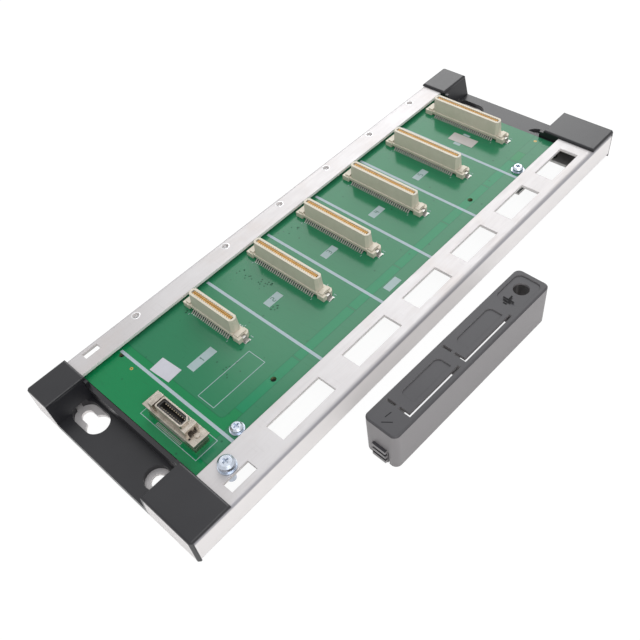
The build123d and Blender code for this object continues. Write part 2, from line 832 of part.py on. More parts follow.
with BuildPart() as cover:
    with BuildSketch(cover_plane):
        with Locations((cover_length / 2, cover_width / 2)):
            RectangleRounded(cover_length, cover_width, cover_corner)
    extrude(amount=cover_height)
    chamfer(cover.faces().sort_by(Axis.Z)[-1].edges(), cover_edge)
    with BuildSketch(cover_plane):
        with Locations((cover_length / 2, cover_width / 2)):
            RectangleRounded(
                cover_length - 2 * cover_wall,
                cover_width - 2 * cover_wall,
                cover_corner - cover_wall,
            )
    extrude(amount=cover_height - cover_wall, mode=Mode.SUBTRACT)

    # Inner ribs that stiffen the top between the flaps
    with BuildSketch(cover_plane.offset(cover_height - cover_wall)):
        for start in (flap_starts[0] - 2 * cover_slot_width, flap_starts[1] - 2 * cover_slot_width):
            with Locations((start, cover_width / 2)):
                Rectangle(cover_rib_thickness, cover_width - cover_wall)
        with Locations((flap_starts[1] + flap_length + 2 * cover_slot_width, cover_width / 2)):
            Rectangle(cover_rib_thickness, cover_width - cover_wall)
    extrude(amount=-cover_rib_height / 2)

    # Slots that free each flap along its near side and its first end, with a bridge left
    with BuildSketch(cover_top_plane):
        for start in flap_starts:
            with Locations((start + flap_length / 2, flap_near + cover_slot_width / 2)):
                Rectangle(flap_length, cover_slot_width)
            bridge = flap_far - flap_bridge_from_far
            low = (flap_near + bridge - flap_bridge / 2) / 2
            with Locations((start + cover_slot_width / 2, low)):
                Rectangle(cover_slot_width, bridge - flap_bridge / 2 - flap_near)
            high = (bridge + flap_bridge / 2 + flap_far) / 2
            with Locations((start + cover_slot_width / 2, high)):
                Rectangle(cover_slot_width, flap_far - bridge - flap_bridge / 2)
    extrude(amount=-2 * cover_wall, mode=Mode.SUBTRACT)

    # Shallow sunk panels: one in each flap and one round the screw hole
    with BuildSketch(cover_top_plane) as sunk:
        for start in flap_starts:
            panel_length = flap_length - flap_panel_shift - 2 * flap_panel_margin
            panel_depth = flap_depth - 2 * flap_panel_margin - cover_slot_width
            panel_x = start + flap_panel_shift / 2 + flap_length / 2
            panel_y = (flap_near + cover_slot_width + flap_far) / 2
            with Locations((panel_x, panel_y)):
                Rectangle(panel_length, panel_depth)
        fillet(sunk.vertices().group_by(Axis.Y)[-1], flap_panel_corner)
        screw_x = cover_length - cover_screw_from_end
        with Locations((cover_length - cover_recess_margin - cover_recess_length / 2, cover_width / 2)):
            RectangleRounded(
                cover_recess_length,
                cover_width - 2 * cover_recess_margin + cover_edge,
                cover_recess_corner,
            )
    extrude(amount=-cover_recess_depth, mode=Mode.SUBTRACT)
    with BuildSketch(cover_top_plane):
        with Locations((screw_x, cover_width / 2)):
            Circle(cover_screw_dia / 2)
    extrude(amount=-2 * cover_wall, mode=Mode.SUBTRACT)

    # Latch tongue at the first end, freed by two slits and ribbed on its outside
    latch_plane = Plane(
        origin=cover_plane.from_local_coords((0, 0, 0)),
        x_dir=cover_plane.y_dir,
        z_dir=-cover_plane.x_dir,
    )
    with BuildSketch(latch_plane):
        for edge in (latch_from_near - latch_slit / 2, latch_from_near + latch_width + latch_slit / 2):
            with Locations((edge, -latch_slit_height / 2)):
                Rectangle(latch_slit, latch_slit_height)
    extrude(amount=-2 * cover_wall, mode=Mode.SUBTRACT)
    with BuildSketch(latch_plane):
        for i in range(latch_ribs):
            rib_z = latch_rib_start + latch_rib_height / 2 + i * latch_rib_pitch
            with Locations((latch_from_near + latch_width / 2, -rib_z)):
                Rectangle(latch_width, latch_rib_height)
    extrude(amount=latch_out)
save(cover, "connector_cover")
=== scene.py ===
"""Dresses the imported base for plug-in modules and its loose cover: finishes, board printing, solder,
contacts, small marks, camera, lamps and floor. Lengths are in millimetres unless a comment says metres."""
import math

import bmesh
import bpy
import numpy as np
from mathutils import Matrix, Vector


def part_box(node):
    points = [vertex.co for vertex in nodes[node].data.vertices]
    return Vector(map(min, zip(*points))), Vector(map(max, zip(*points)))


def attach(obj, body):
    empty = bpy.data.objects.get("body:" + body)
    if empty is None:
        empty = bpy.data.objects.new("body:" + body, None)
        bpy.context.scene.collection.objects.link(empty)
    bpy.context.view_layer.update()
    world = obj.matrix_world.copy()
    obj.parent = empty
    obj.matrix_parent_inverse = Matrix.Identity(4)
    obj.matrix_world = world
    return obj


MM = 0.001
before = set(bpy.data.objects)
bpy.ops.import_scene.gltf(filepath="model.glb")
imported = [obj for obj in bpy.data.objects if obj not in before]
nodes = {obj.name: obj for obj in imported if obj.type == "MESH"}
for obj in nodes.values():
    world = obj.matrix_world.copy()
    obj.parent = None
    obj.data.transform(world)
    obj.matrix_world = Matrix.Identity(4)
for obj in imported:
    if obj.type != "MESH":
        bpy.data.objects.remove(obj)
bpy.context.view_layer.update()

# Heights that the added pieces stand on, and the sockets' contacts
BOARD_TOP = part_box("backplane_board")[1][2] / MM
FLANGE_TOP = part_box("chassis")[1][2] / MM
TOWER_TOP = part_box("cpu_connector_housing")[1][2] / MM
COVER_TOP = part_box("connector_cover")[1][2] / MM
PLATE_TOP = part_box("extension_connector_rivets")[0][2] / MM
TIP_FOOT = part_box("extension_connector_contacts")[1][2] / MM
INK = 0.03  # thickness of print, solder and flat marks
PRINT_TOP = BOARD_TOP + INK
PITCH = 1.27
SOCKETS = {"power": 20, "cpu": 30, "io0": 30, "io1": 30, "io2": 30, "io3": 30}


def new_group(name, inputs, outputs):
    """A shader node group with the named sockets, and its two ends."""
    group = bpy.data.node_groups.new(name, "ShaderNodeTree")
    for label, kind, value in inputs:
        socket = group.interface.new_socket(name=label, in_out="INPUT", socket_type=kind)
        if value is not None:
            socket.default_value = value
    for label, kind in outputs:
        group.interface.new_socket(name=label, in_out="OUTPUT", socket_type=kind)
    return group, group.nodes.new("NodeGroupInput"), group.nodes.new("NodeGroupOutput")


def maths(tree, operation, first, second=None, clamp=False):
    """A Math node fed by sockets or plain numbers; returns its output."""
    node = tree.nodes.new("ShaderNodeMath")
    node.operation = operation
    node.use_clamp = clamp
    for slot, value in enumerate((first, second)):
        if isinstance(value, (int, float)):
            node.inputs[slot].default_value = value
        elif value is not None:
            tree.links.new(value, node.inputs[slot])
    return node.outputs[0]


def blend_colour(tree, factor, first, second):
    """Mixes two colours, given as sockets or tuples, by a factor socket."""
    node = tree.nodes.new("ShaderNodeMix")
    node.data_type = "RGBA"
    tree.links.new(factor, node.inputs[0])
    for slot, value in ((6, first), (7, second)):
        if isinstance(value, tuple):
            node.inputs[slot].default_value = (*value[:3], 1.0)
        else:
            tree.links.new(value, node.inputs[slot])
    return node.outputs[2]


def object_point(tree, stretch=(1.0, 1.0, 1.0)):
    """Object coordinates in millimetres, stretched along each axis."""
    coords = tree.nodes.new("ShaderNodeTexCoord")
    scale = tree.nodes.new("ShaderNodeVectorMath")
    scale.operation = "MULTIPLY"
    scale.inputs[1].default_value = tuple(s / MM for s in stretch)
    tree.links.new(coords.outputs["Object"], scale.inputs[0])
    return scale.outputs[0]


def noise(tree, point, scale, detail=2.0, roughness=0.5):
    """A noise texture's value over a point socket."""
    node = tree.nodes.new("ShaderNodeTexNoise")
    node.inputs["Detail"].default_value = detail
    node.inputs["Roughness"].default_value = roughness
    if isinstance(scale, (int, float)):
        node.inputs["Scale"].default_value = scale
    else:
        tree.links.new(scale, node.inputs["Scale"])
    tree.links.new(point, node.inputs["Vector"])
    return node.outputs[0]


def remap(tree, value, span, to_low, to_high):
    """Maps a value from one range to another, clamped, with sockets or numbers for the new range."""
    node = tree.nodes.new("ShaderNodeMapRange")
    for slot, item in enumerate((value, *span, to_low, to_high)):
        if isinstance(item, (int, float)):
            node.inputs[slot].default_value = item
        else:
            tree.links.new(item, node.inputs[slot])
    return node.outputs[0]


def grain_group():
    """Colour drift, roughness drift and a fine height over a given normal, from noise at two sizes."""
    patch_share, grain_share = 0.7, 0.3
    drift_span, rough_span = (0.36, 0.64), (0.3, 0.7)
    relief = 0.1 * MM
    group, start, end = new_group(
        "surface_grain",
        [
            ("Base", "NodeSocketColor", (0.8, 0.8, 0.8, 1.0)),
            ("Drift", "NodeSocketColor", (0.7, 0.7, 0.7, 1.0)),
            ("Patch Scale", "NodeSocketFloat", 0.05),
            ("Grain Scale", "NodeSocketFloat", 3.0),
            ("Stretch", "NodeSocketVector", (1.0, 1.0, 1.0)),
            ("Rough Low", "NodeSocketFloat", 0.4),
            ("Rough High", "NodeSocketFloat", 0.5),
            ("Height", "NodeSocketFloat", 0.01),
            ("Surface Normal", "NodeSocketVector", None),
        ],
        [("Color", "NodeSocketColor"), ("Roughness", "NodeSocketFloat"), ("Normal", "NodeSocketVector")],
    )
    point = object_point(group)
    stretched = group.nodes.new("ShaderNodeVectorMath")
    stretched.operation = "MULTIPLY"
    group.links.new(point, stretched.inputs[0])
    group.links.new(start.outputs["Stretch"], stretched.inputs[1])
    patches = noise(group, point, start.outputs["Patch Scale"], detail=3.0)
    grain = noise(group, stretched.outputs[0], start.outputs["Grain Scale"], detail=4.0, roughness=0.6)
    spread = maths(group, "ADD", maths(group, "MULTIPLY", patches, patch_share),
                   maths(group, "MULTIPLY", grain, grain_share))
    factor = remap(group, spread, drift_span, 0.0, 1.0)
    colour = blend_colour(group, factor, start.outputs["Base"], start.outputs["Drift"])
    rough = remap(group, grain, rough_span, start.outputs["Rough Low"], start.outputs["Rough High"])
    bump = group.nodes.new("ShaderNodeBump")
    bump.inputs["Distance"].default_value = relief
    group.links.new(start.outputs["Height"], bump.inputs["Strength"])
    group.links.new(grain, bump.inputs["Height"])
    group.links.new(start.outputs["Surface Normal"], bump.inputs["Normal"])
    group.links.new(colour, end.inputs["Color"])
    group.links.new(rough, end.inputs["Roughness"])
    group.links.new(bump.outputs[0], end.inputs["Normal"])
    return group


AREA_INPUTS = ("Middle X", "Middle Y", "Half X", "Half Y", "Corner")


def area_group():
    """A mask and a rim line of a rounded rectangle in X and Y, from the signed distance to it: the length of
    what lies beyond the half sides less the corner, plus the larger of the two where both lie within, less
    the corner."""
    soft_edge = 0.08
    rim_span = (0.12, 0.34)
    group, start, end = new_group(
        "rounded_area",
        [(label, "NodeSocketFloat", 1.0) for label in AREA_INPUTS],
        [("Inside", "NodeSocketFloat"), ("Edge", "NodeSocketFloat")],
    )
    split = group.nodes.new("ShaderNodeSeparateXYZ")
    group.links.new(object_point(group), split.inputs[0])
    over = []
    for axis, middle, half in ((0, "Middle X", "Half X"), (1, "Middle Y", "Half Y")):
        offset = maths(group, "SUBTRACT", split.outputs[axis], start.outputs[middle])
        inner = maths(group, "SUBTRACT", start.outputs[half], start.outputs["Corner"])
        over.append(maths(group, "SUBTRACT", maths(group, "ABSOLUTE", offset), inner))
    outer = [maths(group, "POWER", maths(group, "MAXIMUM", value, 0.0), 2.0) for value in over]
    reach = maths(group, "SQRT", maths(group, "ADD", outer[0], outer[1]))
    inside = maths(group, "MINIMUM", maths(group, "MAXIMUM", over[0], over[1]), 0.0)
    distance = maths(group, "SUBTRACT", maths(group, "ADD", reach, inside), start.outputs["Corner"])
    group.links.new(remap(group, distance, (soft_edge, -soft_edge), 0.0, 1.0), end.inputs["Inside"])
    rim = remap(group, maths(group, "ABSOLUTE", distance), rim_span, 1.0, 0.0)
    group.links.new(rim, end.inputs["Edge"])
    return group


GRAIN = grain_group()
AREA = area_group()
EDGE_SAMPLES = 4


def grained(name, base, drift, metallic=0.0, rough=(0.4, 0.5), grain=3.0, patch=0.05, height=0.1,
            stretch=(1.0, 1.0, 1.0), specular=0.5, edge=0.0):
    """A material whose colour, roughness and normal come from the shared grain group; an edge radius in
    millimetres softens its corners."""
    material = bpy.data.materials.new(name)
    material.use_nodes = True
    tree = material.node_tree
    shader = tree.nodes["Principled BSDF"]
    shader.inputs["Metallic"].default_value = metallic
    shader.inputs["Specular IOR Level"].default_value = specular
    node = tree.nodes.new("ShaderNodeGroup")
    node.node_tree = GRAIN
    for label, value in (
        ("Base", (*base, 1.0)), ("Drift", (*drift, 1.0)), ("Patch Scale", patch), ("Grain Scale", grain),
        ("Stretch", stretch), ("Rough Low", rough[0]), ("Rough High", rough[1]), ("Height", height),
    ):
        node.inputs[label].default_value = value
    if edge:
        surface = tree.nodes.new("ShaderNodeBevel")
        surface.samples = EDGE_SAMPLES
        surface.inputs["Radius"].default_value = edge * MM
    else:
        surface = tree.nodes.new("ShaderNodeNewGeometry")
    tree.links.new(surface.outputs["Normal"], node.inputs["Surface Normal"])
    tree.links.new(node.outputs["Color"], shader.inputs["Base Color"])
    tree.links.new(node.outputs["Roughness"], shader.inputs["Roughness"])
    tree.links.new(node.outputs["Normal"], shader.inputs["Normal"])
    return material, tree, shader, node


def lean(tree):
    """The surface normal's Z without its sign: 0 on an upright face, 1 on a level one."""
    split = tree.nodes.new("ShaderNodeSeparateXYZ")
    tree.links.new(tree.nodes.new("ShaderNodeNewGeometry").outputs["Normal"], split.inputs[0])
    return maths(tree, "ABSOLUTE", split.outputs[2])


UPRIGHT_SPAN = (0.35, 0.75)


def upright(tree):
    """A mask of the faces that stand upright."""
    return remap(tree, lean(tree), UPRIGHT_SPAN, 1.0, 0.0)


# Copper areas under the solder mask: middle x and y, half lengths, corner radius and colour seen
MAIN_POUR = (0.022, 0.192, 0.088)
LOWER_POUR = (0.030, 0.197, 0.096)
LANE = (0.004, 0.220, 0.092)
STRIP = (0.004, 0.205, 0.066)
STRIP_DRIFT = (0.006, 0.220, 0.075)
MASK_SHADOW = (0.006, 0.095, 0.045)
LAMINATE = (0.13, 0.17, 0.07)
LANE_MIDDLE, LANE_HALF = -23.4, 2.4
LANE_BREAKS = (-60.5, -25.0, 7.0, 43.5, 77.0, 101.0)
BOARD_AREAS = [
    (3.6, LANE_MIDDLE, 98.0, LANE_HALF, 0.4, LANE),
    (12.4, 12.0, 113.9, 33.0, 2.2, MAIN_POUR),
    (3.0, -30.4, 122.3, 4.6, 0.6, LOWER_POUR),
    (117.5, LANE_MIDDLE, 8.0, LANE_HALF, 0.4, LOWER_POUR),
]
BOARD_AREAS += [(x, LANE_MIDDLE, 0.35, LANE_HALF, 0.1, MAIN_POUR) for x in LANE_BREAKS]


def board_material():
    """Solder mask over copper: bright bare lanes, greyer copper areas with dark rims, vias and the tracks of
    the inner layers."""
    rim_strength = 0.40
    track_stretch, track_scale = (0.9, 0.12, 1.0), 1.1
    track_span, track_strength = (0.56, 0.70), 0.14
    via_scale, via_span = 0.16, (0.060, 0.105)
    crowd_scale, crowd_span = 0.035, (0.46, 0.58)
    crowd_least, crowd_most = 0.20, 0.75
    material, tree, shader, grain = grained(
        "solder_mask", STRIP, STRIP_DRIFT, rough=(0.13, 0.20), grain=2.2, patch=0.03, height=0.03,
        specular=0.24,
    )
    tone = grain.outputs["Color"]
    rims = None
    for *places, colour in BOARD_AREAS:
        node = tree.nodes.new("ShaderNodeGroup")
        node.node_tree = AREA
        for label, value in zip(AREA_INPUTS, places):
            node.inputs[label].default_value = value
        tone = blend_colour(tree, node.outputs["Inside"], tone, colour)
        edge = node.outputs["Edge"]
        rims = edge if rims is None else maths(tree, "MAXIMUM", rims, edge)
    tone = blend_colour(tree, maths(tree, "MULTIPLY", rims, rim_strength), tone, MASK_SHADOW)
    # Tracks of the inner layers, seen through the mask as faint darker lines
    faint = noise(tree, object_point(tree, track_stretch), track_scale, detail=3.0, roughness=0.6)
    tone = blend_colour(tree, remap(tree, faint, track_span, 0.0, track_strength), tone, MASK_SHADOW)
    # Scattered vias as small dark dots
    cells = tree.nodes.new("ShaderNodeTexVoronoi")
    cells.inputs["Scale"].default_value = via_scale
    tree.links.new(object_point(tree), cells.inputs["Vector"])
    crowd = remap(tree, noise(tree, object_point(tree), crowd_scale), crowd_span, crowd_least, crowd_most)
    dots = maths(tree, "MULTIPLY", remap(tree, cells.outputs["Distance"], via_span, 1.0, 0.0), crowd)
    tone = blend_colour(tree, dots, tone, MASK_SHADOW)
    # The cut edge of the laminate is paler and yellower than the mask
    tone = blend_colour(tree, upright(tree), tone, LAMINATE)
    tree.links.new(tone, shader.inputs["Base Color"])
    return material


def sheet_material():
    """Bare aluminium: satin with a fine rolled grain along X, warm smudges and hair scratches across it."""
    smudge_tone, smudge_scale = (0.52, 0.475, 0.455), 0.055
    smudge_span, smudge_strength = (0.50, 0.72), 0.55
    hair_tone, hair_stretch = (0.38, 0.36, 0.36), (2.6, 0.10, 1.0)
    hair_span, hair_strength = (0.66, 0.74), 0.35
    wall_painted_light, fold_painted_shade = (0.90, 0.865, 0.85), (0.36, 0.35, 0.375)
    fold_start, fold_end = (0.10, 0.45), (0.75, 0.98)
    level_metallic, upright_metallic = 0.30, 0.08
    material, tree, shader, grain = grained(
        "bare_sheet", (0.575, 0.56, 0.565), (0.52, 0.50, 0.50), metallic=level_metallic, rough=(0.40, 0.52),
        grain=1.6, patch=0.03, height=0.08, stretch=(0.06, 1.0, 1.0), edge=0.3,
    )
    smudge = noise(tree, object_point(tree), smudge_scale, detail=4.0, roughness=0.65)
    smudge = remap(tree, smudge, smudge_span, 0.0, smudge_strength)
    tone = blend_colour(tree, smudge, grain.outputs["Color"], smudge_tone)
    hairs = noise(tree, object_point(tree, hair_stretch), 1.0, roughness=0.4)
    tone = blend_colour(tree, remap(tree, hairs, hair_span, 0.0, hair_strength), tone, hair_tone)
    # Painted light: the near wall is painted paler, as lit by the bright floor it faces; painted shade: the
    # fold above it is painted darker, as it faces the dimmer room
    tone = blend_colour(tree, upright(tree), tone, wall_painted_light)
    metal = remap(tree, upright(tree), (0.0, 1.0), level_metallic, upright_metallic)
    tree.links.new(metal, shader.inputs["Metallic"])
    slope = lean(tree)
    fold = maths(tree, "MULTIPLY", remap(tree, slope, fold_start, 0.0, 1.0),
                 remap(tree, slope, fold_end, 1.0, 0.0))
    tone = blend_colour(tree, fold, tone, fold_painted_shade)
    tree.links.new(tone, shader.inputs["Base Color"])
    return material


def cover_material():
    """Dark grey moulding, grained all over, whose upright sides are painted paler than its top: painted
    light on the sides.
    """
    side_painted_light = (0.262, 0.248, 0.251)
    material, tree, shader, grain = grained(
        "cover_plastic", (0.038, 0.037, 0.042), (0.045, 0.044, 0.049), rough=(0.42, 0.52), grain=5.5,
        patch=0.06, height=0.14, edge=0.2,
    )
    # Painted light: the upright sides get a paler colour, standing for the light that falls on them
    tone = blend_colour(tree, upright(tree), grain.outputs["Color"], side_painted_light)
    tree.links.new(tone, shader.inputs["Base Color"])
    return material


# Finishes that need nothing beyond the grain group
PLAIN_FINISHES = {
    "cream_housing": dict(
        base=(0.70, 0.645, 0.535), drift=(0.65, 0.60, 0.49), rough=(0.40, 0.52), grain=2.6, patch=0.2,
        height=0.08, edge=0.3,
    ),
    "black_plastic": dict(
        base=(0.011, 0.011, 0.014), drift=(0.015, 0.015, 0.018), rough=(0.28, 0.38), grain=5.5, patch=0.06,
        specular=0.45,
    ),
    "zinc_plate": dict(
        base=(0.55, 0.60, 0.69), drift=(0.45, 0.49, 0.55), metallic=1.0, rough=(0.20, 0.34), grain=2.4,
        patch=0.5, edge=0.2,
    ),
    "tinned_clip": dict(
        base=(0.46, 0.45, 0.43), drift=(0.36, 0.35, 0.33), metallic=1.0, rough=(0.30, 0.44), patch=0.6,
    ),
    "tinned_shell": dict(
        base=(0.50, 0.455, 0.40), drift=(0.34, 0.31, 0.27), metallic=0.95, rough=(0.22, 0.36), grain=2.0,
        patch=0.35, height=0.16, edge=0.2,
    ),
    "shaded_pin": dict(
        base=(0.060, 0.052, 0.045), drift=(0.045, 0.040, 0.034), metallic=0.3, rough=(0.35, 0.45),
        patch=0.6, height=0.05,
    ),
    # Painted highlight for the lit tips of the extension connector's contacts
    "tip_painted_highlight": dict(
        base=(0.86, 0.74, 0.54), drift=(0.76, 0.64, 0.45), metallic=0.3, rough=(0.25, 0.35), patch=0.6,
        height=0.05,
    ),
    "gold_flash": dict(
        base=(0.54, 0.30, 0.075), drift=(0.48, 0.26, 0.06), metallic=0.25, rough=(0.30, 0.42), patch=0.5,
        height=0.05,
    ),
    "tinned_lead": dict(
        base=(0.38, 0.35, 0.33), drift=(0.29, 0.265, 0.25), metallic=0.9, rough=(0.30, 0.42), patch=0.6,
        height=0.05,
    ),
    "dark_insulator": dict(
        base=(0.018, 0.017, 0.016), drift=(0.026, 0.024, 0.022), rough=(0.38, 0.5), grain=4.0, patch=0.3,
    ),
    "line_print": dict(
        base=(0.385, 0.47, 0.51), drift=(0.36, 0.44, 0.48), rough=(0.50, 0.62), grain=4.0, patch=0.4,
        height=0.12,
    ),
    "box_print": dict(
        base=(0.355, 0.45, 0.455), drift=(0.325, 0.42, 0.425), rough=(0.50, 0.62), grain=4.0, patch=0.4,
        height=0.12,
    ),
    "mask_showing": dict(
        base=(0.050, 0.145, 0.105), drift=(0.06, 0.16, 0.12), rough=(0.35, 0.45), patch=0.3, height=0.05,
    ),
    "label_film": dict(
        base=(0.56, 0.56, 0.61), drift=(0.51, 0.51, 0.56), rough=(0.35, 0.45), grain=2.0, patch=0.2,
        height=0.05,
    ),
    "label_film_warm": dict(
        base=(0.47, 0.435, 0.42), drift=(0.43, 0.40, 0.38), grain=2.0, patch=0.2, height=0.05,
    ),
    "solder": dict(
        base=(0.46, 0.47, 0.47), drift=(0.36, 0.37, 0.37), metallic=0.9, rough=(0.25, 0.4), grain=2.5,
        patch=0.6, height=0.15,
    ),
    # Near white: bright cut metal, with painted highlight on the burrs and painted reflection in the
    # collars' bores
    "cut_metal_and_painted_glint": dict(
        base=(0.92, 0.92, 0.93), drift=(0.82, 0.82, 0.83), metallic=0.4, rough=(0.20, 0.35), patch=0.8,
        height=0.2,
    ),
    "dark_mark": dict(
        base=(0.006, 0.006, 0.007), drift=(0.009, 0.009, 0.010), rough=(0.5, 0.6), grain=4.0, patch=0.3,
        height=0.05, specular=0.12,
    ),
    "via_tone": dict(
        base=(0.010, 0.055, 0.032), drift=(0.014, 0.07, 0.04), rough=(0.5, 0.6), patch=0.3, height=0.05,
        specular=0.08,
    ),
    # Painted shade: the dark of the rim's notches, drawn flat on the rim
    "notch_painted_shade": dict(
        base=(0.30, 0.25, 0.17), drift=(0.26, 0.21, 0.14), rough=(0.5, 0.6), grain=4.0, patch=0.3,
        height=0.05,
    ),
}
finishes = {name: grained(name, **values)[0] for name, values in PLAIN_FINISHES.items()}
finishes["bare_sheet"] = sheet_material()
finishes["solder_mask"] = board_material()
finishes["cover_plastic"] = cover_material()

NODE_FINISHES = {
    "chassis": "bare_sheet",
    "backplane_board": "solder_mask",
    "left_end_moulding": "black_plastic",
    "right_end_moulding": "black_plastic",
    "connector_cover": "cover_plastic",
    "board_screws": "zinc_plate",
    "board_screw_washers": "zinc_plate",
    "board_standoffs": "zinc_plate",
    "earth_screw": "zinc_plate",
    "earth_flat_washer": "zinc_plate",
    "earth_spring_washer": "zinc_plate",
    "connector_clips": "tinned_clip",
    "extension_connector_shell": "tinned_shell",
    "extension_connector_rivets": "tinned_shell",
    "extension_connector_insulator": "dark_insulator",
    "extension_connector_contacts": "shaded_pin",
    "left_label": "label_film",
    "right_label": "label_film_warm",
}
NODE_FINISHES.update({f"{name}_connector_housing": "cream_housing" for name in SOCKETS})
NODE_FINISHES.update({f"{name}_connector_contacts": "tinned_lead" for name in SOCKETS})
for node_name, finish_name in NODE_FINISHES.items():
    slots = nodes[node_name].data.materials
    slots.clear()
    slots.append(finishes[finish_name])


BOX_FACES = np.array([(0, 2, 3, 1), (4, 5, 7, 6), (0, 1, 5, 4), (2, 6, 7, 3), (0, 4, 6, 2), (1, 3, 7, 5)])


def bars(start, end, width, low, high):
    """Flat bars along lines in plan: a corner is the start or end point, plus or minus half the width
    across the line, taken at the low and at the high level."""
    start, end = np.atleast_2d(start).astype(float), np.atleast_2d(end).astype(float)
    along = (end - start) / np.linalg.norm(end - start, axis=1, keepdims=True)
    across = along[:, ::-1] * (-1.0, 1.0) * np.reshape(width, (-1, 1)) / 2
    plan = np.stack([start - across, end - across, start + across, end + across], axis=1)
    levels = [np.full(plan.shape[:2] + (1,), float(level)) for level in (low, high)]
    points = np.concatenate([np.concatenate([plan, level], axis=2) for level in levels], axis=1)
    faces = BOX_FACES[None] + 8 * np.arange(len(start))[:, None, None]
    return points.reshape(-1, 3), faces.reshape(-1, 4)


def plates(rows, low, high):
    """Flat plates over rectangles, given as rows of x0, y0, x1, y1: each is a bar along its middle line."""
    x0, y0, x1, y1 = np.atleast_2d(rows).astype(float).T
    middle = (y0 + y1) / 2
    return bars(np.stack([x0, middle], axis=1), np.stack([x1, middle], axis=1), y1 - y0, low, high)


def outline_rows(x0, y0, x1, y1, width):
    """The four rows of a rectangle's outline, which meet at its corners without overlapping."""
    return [
        (x0, y0, x1, y0 + width), (x0, y1 - width, x1, y1),
        (x0, y0 + width, x0 + width, y1 - width), (x1 - width, y0 + width, x1, y1 - width),
    ]


def side_rows(x, inner, outer, middles, half):
    """Rows of like rectangles in two columns: from the inner to the outer distance on each side of the
    line x, and half a length up and down from each middle y."""
    spans = [np.sort((x - inner, x - outer)), np.sort((x + inner, x + outer))]
    x0, x1 = np.repeat(np.array(spans), len(middles), axis=0).T
    middles = np.tile(middles, 2)
    return np.stack([x0, middles - half, x1, middles + half], axis=1)


def lathe(profile, centres, sides, loop=True):
    """Turned solids: point (cx + r cos t, cy + r sin t, z) over the profile's points (r, z) and equal
    steps of the angle t, once for each centre. A profile that ends on the axis isn't a loop."""
    radius, height = np.asarray(profile, float).T
    turn = np.arange(sides) * 2.0 * np.pi / sides
    level = np.repeat(height[:, None], sides, axis=1)
    ring = np.stack([np.outer(radius, np.cos(turn)), np.outer(radius, np.sin(turn)), level], axis=-1)
    ring = ring.reshape(-1, 3)
    steps = len(radius) if loop else len(radius) - 1
    i, j = np.meshgrid(np.arange(steps), np.arange(sides), indexing="ij")
    k, m = (i + 1) % len(radius), (j + 1) % sides
    quads = np.stack([i * sides + j, i * sides + m, k * sides + m, k * sides + j], axis=-1).reshape(-1, 4)
    centres = np.pad(np.atleast_2d(centres).astype(float), ((0, 0), (0, 1)))
    points = ring[None] + centres[:, None]
    faces = quads[None] + len(ring) * np.arange(len(centres))[:, None, None]
    return points.reshape(-1, 3), faces.reshape(-1, 4)


def pads_round(centres, radius, low, high, sides):
    """Round pads with a slightly domed top: a turned profile that starts and ends on the axis."""
    crown_share, shoulder_drop = 0.8, 0.3
    crown, shoulder = crown_share * radius, high - shoulder_drop * (high - low)
    profile = [(0.0, low), (radius, low), (radius, shoulder), (crown, high), (0.0, high)]
    return lathe(profile, centres, sides, loop=False)


def join(*parts):
    """One set of points and faces from several, each part's faces moved on by the points before it."""
    offsets = np.cumsum([0] + [len(points) for points, faces in parts[:-1]])
    points = np.concatenate([part[0] for part in parts])
    return points, np.concatenate([part[1] + offset for part, offset in zip(parts, offsets)])


WELD_REACH = 0.0005  # far below any side of a face


def add_piece(name, shape, finish_name, weld=False):
    """Makes a closed mesh piece from points in millimetres and lets it ride on the base; welding closes
    the poles of turned shapes."""
    points, faces = shape
    mesh = bpy.data.meshes.new(name)
    mesh.from_pydata((points * MM).tolist(), [], faces.tolist())
    net = bmesh.new()
    net.from_mesh(mesh)
    if weld:
        bmesh.ops.remove_doubles(net, verts=net.verts, dist=WELD_REACH * MM)
    bmesh.ops.recalc_face_normals(net, faces=net.faces)
    net.to_mesh(mesh)
    net.free()
    mesh.materials.append(finishes[finish_name])
    piece = bpy.data.objects.new(name, mesh)
    bpy.context.scene.collection.objects.link(piece)
    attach(piece, "root")


# Plain numbers drawn with straight strokes in a unit box
DIGIT_STROKES = {
    "1": [(0.5, 0.0, 0.5, 1.0), (0.5, 1.0, 0.28, 0.78)],
    "2": [(0.1, 1.0, 0.9, 1.0), (0.9, 0.92, 0.9, 0.5), (0.9, 0.5, 0.1, 0.5), (0.1, 0.42, 0.1, 0.0),
          (0.1, 0.0, 0.9, 0.0)],
    "3": [(0.1, 1.0, 0.9, 1.0), (0.9, 0.92, 0.9, 0.08), (0.3, 0.5, 0.8, 0.5), (0.1, 0.0, 0.9, 0.0)],
    "4": [(0.15, 1.0, 0.15, 0.45), (0.15, 0.45, 0.95, 0.45), (0.75, 0.9, 0.75, 0.0)],
    "5": [(0.9, 1.0, 0.1, 1.0), (0.1, 0.92, 0.1, 0.55), (0.1, 0.55, 0.9, 0.55), (0.9, 0.47, 0.9, 0.0),
          (0.9, 0.0, 0.1, 0.0)],
}
DIGIT_HEIGHT, DIGIT_SLENDERNESS, DIGIT_WEIGHT = 2.7, 0.58, 0.42


def digit(symbol, x, y):
    """A plain number centred on a point: each stroke's ends are the unit box's points scaled about it."""
    size = np.tile((DIGIT_HEIGHT * DIGIT_SLENDERNESS, DIGIT_HEIGHT), 2)
    strokes = (np.array(DIGIT_STROKES[symbol]) - 0.5) * size + np.tile((x, y), 2)
    return bars(strokes[:, :2], strokes[:, 2:], DIGIT_WEIGHT, PRINT_TOP, PRINT_TOP + INK)


def contact_column(name):
    """The x of a socket, and the y of each of its contacts."""
    low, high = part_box(f"{name}_connector_contacts")
    middle_x, middle_y = (low[0] + high[0]) / 2 / MM, (low[1] + high[1]) / 2 / MM
    count = SOCKETS[name]
    return middle_x, middle_y + (np.arange(count) - (count - 1) / 2) * PITCH


COLUMNS = [contact_column(name) for name in SOCKETS]

